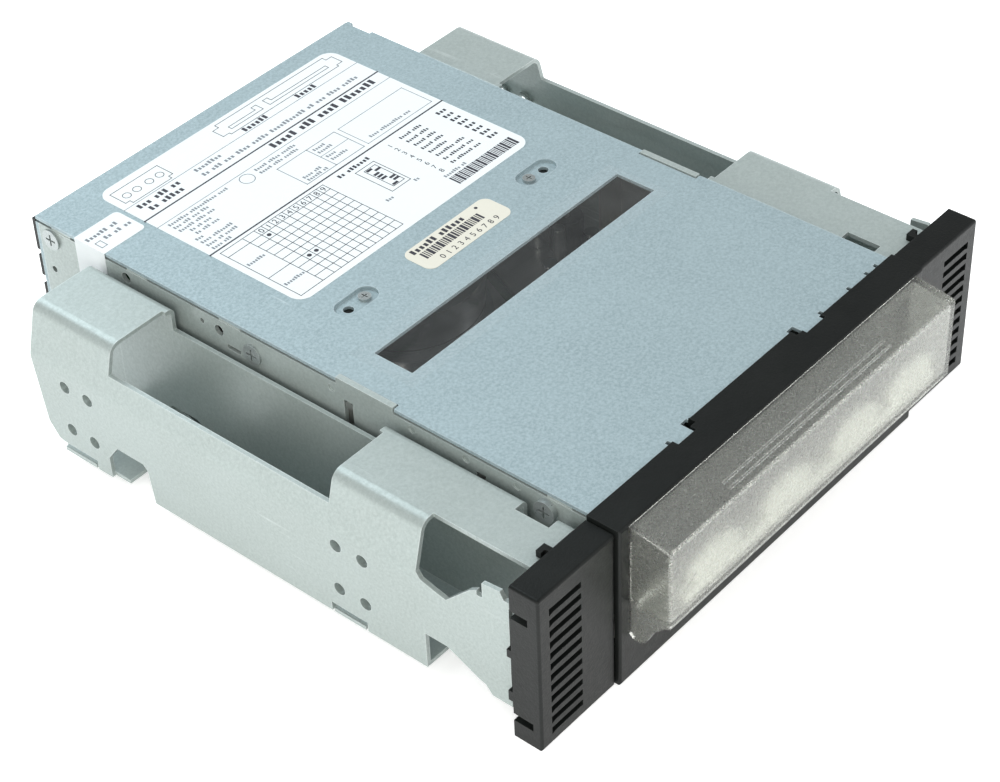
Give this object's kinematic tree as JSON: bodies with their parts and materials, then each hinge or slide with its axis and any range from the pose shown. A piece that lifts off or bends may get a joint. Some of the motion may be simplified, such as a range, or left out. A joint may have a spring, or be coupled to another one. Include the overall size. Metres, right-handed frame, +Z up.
{
  "type": "data tape drive",
  "caption": "Half-height cassette tape drive in side brackets for a wide bay, with a frosted front guard, sprung tape door, helical-scan drum, lift and loading gears.",
  "frame": {"origin": "centre of the whole drive seen from above, on its underside", "axes": "+X to the right seen from the front, +Y to the rear connectors, +Z up"},
  "size_m": [0.149, 0.1754, 0.0413],
  "materials": {
    "galvanised_steel": "matt galvanised sheet",
    "black_plastic": "fine textured",
    "spring_steel": "bright sheet",
    "frosted_plastic": "frosted translucent",
    "component_mix": "moulded",
    "clear_acrylic": "clear",
    "circuit_board": "solder mask",
    "chip_black": "epoxy",
    "brass_plating": "plated",
    "connector_white": "nylon",
    "connector_black": "moulded",
    "switch_blue": "moulded",
    "switch_white": "moulded",
    "deck_steel": "plated",
    "polished_steel": "polished",
    "drum_aluminium": "turned",
    "reel_plastic": "acetal",
    "roller_rubber": "ground",
    "gear_nylon": "nylon",
    "motor_steel": "plated can",
    "label_paper": "satin",
    "clear_film": "glossy film",
    "screw_steel": "zinc plated"
  },
  "bodies": {
    "drive": {"bezel_clip": "spring_steel", "bezel_extension_left": "black_plastic", "bezel_extension_right": "black_plastic", "board_chips": "chip_black", "board_spacers": "brass_plating", "bracket_left": "galvanised_steel", "bracket_right": "galvanised_steel", "centre_bezel": "black_plastic", "chassis": "galvanised_steel", "cross_brace": "galvanised_steel", "data_connector": "connector_black", "data_contacts": "brass_plating", "deck_plate": "deck_steel", "dip_switch_body": "switch_blue", "door_pin": "spring_steel", "door_spring": "spring_steel", "drum_base": "drum_aluminium", "flat_head_screws": "screw_steel", "front_board": "circuit_board", "front_components": "component_mix", "guide_posts": "polished_steel", "light_pipes": "clear_acrylic", "loading_motor": "motor_steel", "main_board": "circuit_board", "main_label": "label_paper", "pan_head_screws": "screw_steel", "power_connector": "connector_white", "power_pins": "brass_plating", "rear_board": "circuit_board", "rear_panel": "galvanised_steel", "rear_trim": "black_plastic", "seal_label": "label_paper", "small_label": "label_paper", "top_cover": "galvanised_steel", "window_film": "clear_film"},
    "guard": {"front_guard": "frosted_plastic"},
    "door": {"tape_door": "black_plastic"},
    "eject": {"eject_button": "black_plastic"},
    "cam": {"cam_gear": "gear_nylon"},
    "motor_gear": {"motor_pinion": "gear_nylon"},
    "lift": {"lift_slider_left": "spring_steel", "lift_slider_right": "spring_steel", "lift_cross_bar": "spring_steel"},
    "carrier": {"cassette_carrier": "spring_steel"},
    "left_guide": {"carriage_left": "polished_steel"},
    "right_guide": {"carriage_right": "polished_steel"},
    "arm": {"pinch_arm": "deck_steel"},
    "roller": {"pinch_roller": "roller_rubber"},
    "capstan": {"capstan": "deck_steel"},
    "drum": {"drum_rotor": "drum_aluminium"},
    "left_reel": {"reel_table_left": "reel_plastic"},
    "right_reel": {"reel_table_right": "reel_plastic"},
    "lever_1": {"dip_lever_1": "switch_white"},
    "lever_2": {"dip_lever_2": "switch_white"},
    "lever_3": {"dip_lever_3": "switch_white"},
    "lever_4": {"dip_lever_4": "switch_white"},
    "lever_5": {"dip_lever_5": "switch_white"},
    "lever_6": {"dip_lever_6": "switch_white"},
    "lever_7": {"dip_lever_7": "switch_white"},
    "lever_8": {"dip_lever_8": "switch_white"}
  },
  "joints": [
    {"name": "guard_pull", "type": "slide", "parent": "drive", "child": "guard", "axis": [0, -1, 0], "range_m": [0, 0.04]},
    {"name": "door_swing", "type": "hinge", "parent": "drive", "child": "door", "pos_m": [0, -0.07523, 0.0376], "axis": [1, 0, 0], "range_deg": [0, 88], "stiffness_Nm_per_rad": 0.005, "springref_deg": -14.32},
    {"name": "eject_press", "type": "slide", "parent": "drive", "child": "eject", "axis": [0, 1, 0], "range_m": [0, 0.0012], "stiffness_N_per_m": 400, "springref_m": -0.001},
    {"name": "cam_turn", "type": "hinge", "parent": "drive", "child": "cam", "pos_m": [-0.037, 0.04147, 0.01], "axis": [0, 0, -1], "range_deg": [0, 100.3]},
    {"name": "motor_spin", "type": "hinge", "parent": "drive", "child": "motor_gear", "pos_m": [-0.02729, 0.05304, 0.019], "axis": [0, 0, -1], "range_deg": [-401.1, 0]},
    {"name": "lift_slide", "type": "slide", "parent": "drive", "child": "lift", "axis": [0, 1, 0], "range_m": [0, 0.014]},
    {"name": "carrier_drop", "type": "slide", "parent": "drive", "child": "carrier", "axis": [0, 0, -1], "range_m": [0, 0.011]},
    {"name": "left_guide_slide", "type": "slide", "parent": "drive", "child": "left_guide", "axis": [-0.3976, 0.9176, 0], "range_m": [0, 0.0327]},
    {"name": "right_guide_slide", "type": "slide", "parent": "drive", "child": "right_guide", "axis": [0.3976, 0.9176, 0], "range_m": [0, 0.0327]},
    {"name": "pinch_swing", "type": "hinge", "parent": "drive", "child": "arm", "pos_m": [0.043, 0.02148, 0.012], "axis": [0, 0, -1], "range_deg": [0, 18.1]},
    {"name": "pinch_spin", "type": "hinge", "parent": "arm", "child": "roller", "pos_m": [0.04071, 0.01072, 0.018], "axis": [0, 0, 1], "continuous": true},
    {"name": "capstan_spin", "type": "hinge", "parent": "drive", "child": "capstan", "pos_m": [0.034, 0.00747, 0.012], "axis": [0, 0, 1], "continuous": true},
    {"name": "drum_spin", "type": "hinge", "parent": "drive", "child": "drum", "pos_m": [0, 0.02747, 0.0085], "axis": [0, -0.0872, 0.9962], "continuous": true},
    {"name": "left_reel_spin", "type": "hinge", "parent": "drive", "child": "left_reel", "pos_m": [-0.023, -0.02902, 0.01], "axis": [0, 0, 1], "continuous": true},
    {"name": "right_reel_spin", "type": "hinge", "parent": "drive", "child": "right_reel", "pos_m": [0.023, -0.02902, 0.01], "axis": [0, 0, 1], "continuous": true},
    {"name": "switch_1_slide", "type": "slide", "parent": "drive", "child": "lever_1", "axis": [0, 1, 0], "range_m": [0, 0.001]},
    {"name": "switch_2_slide", "type": "slide", "parent": "drive", "child": "lever_2", "axis": [0, 1, 0], "range_m": [0, 0.001]},
    {"name": "switch_3_slide", "type": "slide", "parent": "drive", "child": "lever_3", "axis": [0, 1, 0], "range_m": [0, 0.001]},
    {"name": "switch_4_slide", "type": "slide", "parent": "drive", "child": "lever_4", "axis": [0, 1, 0], "range_m": [0, 0.001]},
    {"name": "switch_5_slide", "type": "slide", "parent": "drive", "child": "lever_5", "axis": [0, 1, 0], "range_m": [0, 0.001]},
    {"name": "switch_6_slide", "type": "slide", "parent": "drive", "child": "lever_6", "axis": [0, 1, 0], "range_m": [0, 0.001]},
    {"name": "switch_7_slide", "type": "slide", "parent": "drive", "child": "lever_7", "axis": [0, 1, 0], "range_m": [0, 0.001]},
    {"name": "switch_8_slide", "type": "slide", "parent": "drive", "child": "lever_8", "axis": [0, 1, 0], "range_m": [0, 0.001]}
  ],
  "couplings": [
    {"joint": "cam_turn", "follows": "lift_slide", "rad_per_m": 125},
    {"joint": "motor_spin", "follows": "lift_slide", "rad_per_m": -500},
    {"joint": "carrier_drop", "follows": "lift_slide", "ratio": 0.78571},
    {"joint": "left_guide_slide", "follows": "lift_slide", "ratio": 2.3354},
    {"joint": "right_guide_slide", "follows": "lift_slide", "ratio": 2.3354},
    {"joint": "pinch_swing", "follows": "lift_slide", "rad_per_m": 22.44}
  ]
}
